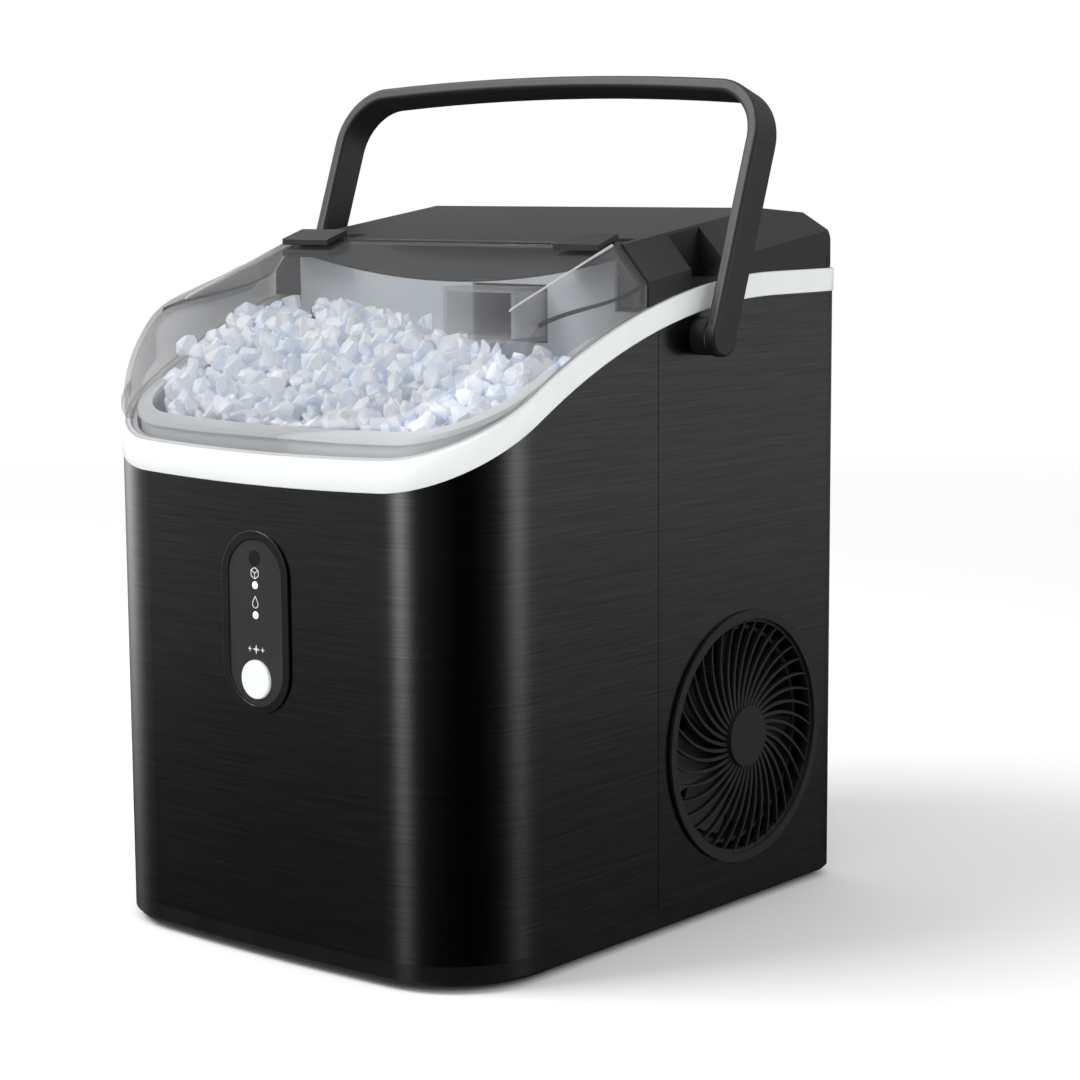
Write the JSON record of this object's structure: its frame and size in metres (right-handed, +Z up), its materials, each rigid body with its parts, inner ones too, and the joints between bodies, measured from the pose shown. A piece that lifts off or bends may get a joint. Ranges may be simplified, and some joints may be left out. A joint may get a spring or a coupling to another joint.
{
  "type": "ice maker",
  "caption": "Countertop nugget ice maker with a black brushed casing, white rim band, hinged clear lid over an ice basket, bail handle, side fan vent and auger drive.",
  "frame": {"origin": "on the table under the middle of the body, at the bottom of the feet", "axes": "+Z up, -Y out of the front with the control panel, +X to the right of a person facing the control panel"},
  "size_m": [0.258, 0.282, 0.3839],
  "materials": {
    "charcoal_plastic": "fine satin moulded texture",
    "foot_rubber": "matt",
    "black_steel": "black coated, brushed along the horizontal",
    "white_plastic": "satin white",
    "dark_steel": "black oxide",
    "clear_lid": "clear, very lightly smoked",
    "clear_nylon": "natural nylon",
    "gloss_black": "gloss",
    "panel_grey": "satin",
    "led_lens": "milky lens",
    "circuit_board": "green solder mask",
    "liner_grey": "satin pale grey",
    "silicone": "translucent silicone",
    "zinc_steel": "zinc plated",
    "die_cast": "as cast",
    "stainless": "satin",
    "copper": "drawn copper tube",
    "black_foam": "closed-cell foam",
    "compressor_black": "semi-gloss black paint",
    "fin_aluminium": "bright fin stock"
  },
  "bodies": {
    "casing": {"base_tray": "gloss_black", "rubber_feet": "foot_rubber", "front_wrap_panel": "black_steel", "rear_wrap_panel": "black_steel", "white_trim_band": "white_plastic", "body_screws": "dark_steel", "side_vent_grille": "charcoal_plastic", "top_cover": "charcoal_plastic", "lid_hinge_pins": "dark_steel", "handle_bosses": "charcoal_plastic", "handle_washers": "clear_nylon", "panel_bezel": "gloss_black", "panel_plate": "panel_grey", "button_switch": "gloss_black", "indicator_leds": "led_lens", "sensor_window": "gloss_black", "control_board": "circuit_board", "inner_liner": "liner_grey", "water_tank": "liner_grey", "water_pump": "gloss_black", "feed_hose": "silicone", "float_stem": "white_plastic", "drain_hose": "silicone", "drain_spout": "charcoal_plastic", "ice_level_sensor": "gloss_black", "drive_shelf": "zinc_steel", "drive_motor": "zinc_steel", "gearbox_housing": "die_cast", "gearbox_cover": "die_cast", "evaporator_barrel": "stainless", "evaporator_coil": "copper", "insulation_jacket": "black_foam", "extruder_head": "stainless", "ice_chute": "clear_lid", "compressor_shell": "compressor_black", "compressor_plate": "zinc_steel", "compressor_mounts": "foot_rubber", "compressor_bolts": "zinc_steel", "condenser_tubes": "copper", "condenser_fins": "fin_aluminium", "fan_shroud": "charcoal_plastic", "fan_motor": "gloss_black", "filter_drier": "copper", "discharge_line": "copper", "suction_line": "copper", "liquid_line": "copper", "power_inlet": "gloss_black", "power_board": "circuit_board"},
    "lid": {"lid_shell": "clear_lid", "lid_hinge_clips": "charcoal_plastic"},
    "handle": {"handle_bail": "charcoal_plastic"},
    "button": {"function_button": "white_plastic"},
    "basket": {"ice_basket": "liner_grey"},
    "fan": {"fan_blades": "charcoal_plastic"},
    "ice_screw": {"auger": "stainless", "auger_gear": "dark_steel"},
    "motor_rotor": {"motor_pinion": "dark_steel"},
    "pump_rotor": {"pump_impeller": "white_plastic"},
    "tank_float": {"level_float": "white_plastic"},
    "drain_plug": {"drain_cap": "foot_rubber"}
  },
  "joints": [
    {"name": "lid_hinge", "type": "hinge", "parent": "casing", "child": "lid", "pos_m": [0, -0.0065, 0.306], "axis": [-1, 0, 0], "range_deg": [0, 95]},
    {"name": "handle_pivot", "type": "hinge", "parent": "casing", "child": "handle", "pos_m": [0, 0.0245, 0.2675], "axis": [-1, 0, 0], "range_deg": [-94, 38]},
    {"name": "button_press", "type": "slide", "parent": "casing", "child": "button", "axis": [0, 1, 0], "range_m": [0, 0.001], "stiffness_N_per_m": 600},
    {"name": "basket_lift", "type": "slide", "parent": "casing", "child": "basket", "axis": [0, 0, 1], "range_m": [0, 0.005]},
    {"name": "fan_spin", "type": "hinge", "parent": "casing", "child": "fan", "pos_m": [0.103, 0.06, 0.081], "axis": [1, 0, 0], "continuous": true},
    {"name": "screw_spin", "type": "hinge", "parent": "casing", "child": "ice_screw", "pos_m": [0.036, 0.075, 0.2], "axis": [0, 0, 1], "continuous": true},
    {"name": "motor_spin", "type": "hinge", "parent": "casing", "child": "motor_rotor", "pos_m": [0.036, 0.045, 0.15], "axis": [0, 0, 1], "continuous": true},
    {"name": "pump_spin", "type": "hinge", "parent": "casing", "child": "pump_rotor", "pos_m": [-0.05, -0.06, 0.034], "axis": [0, 0, 1], "continuous": true},
    {"name": "float_rise", "type": "slide", "parent": "casing", "child": "tank_float", "axis": [0, 0, 1], "range_m": [0, 0.024]},
    {"name": "drain_pull", "type": "slide", "parent": "casing", "child": "drain_plug", "axis": [0, 1, 0], "range_m": [0, 0.012]}
  ],
  "couplings": [
    {"joint": "motor_spin", "follows": "screw_spin", "ratio": -4}
  ]
}
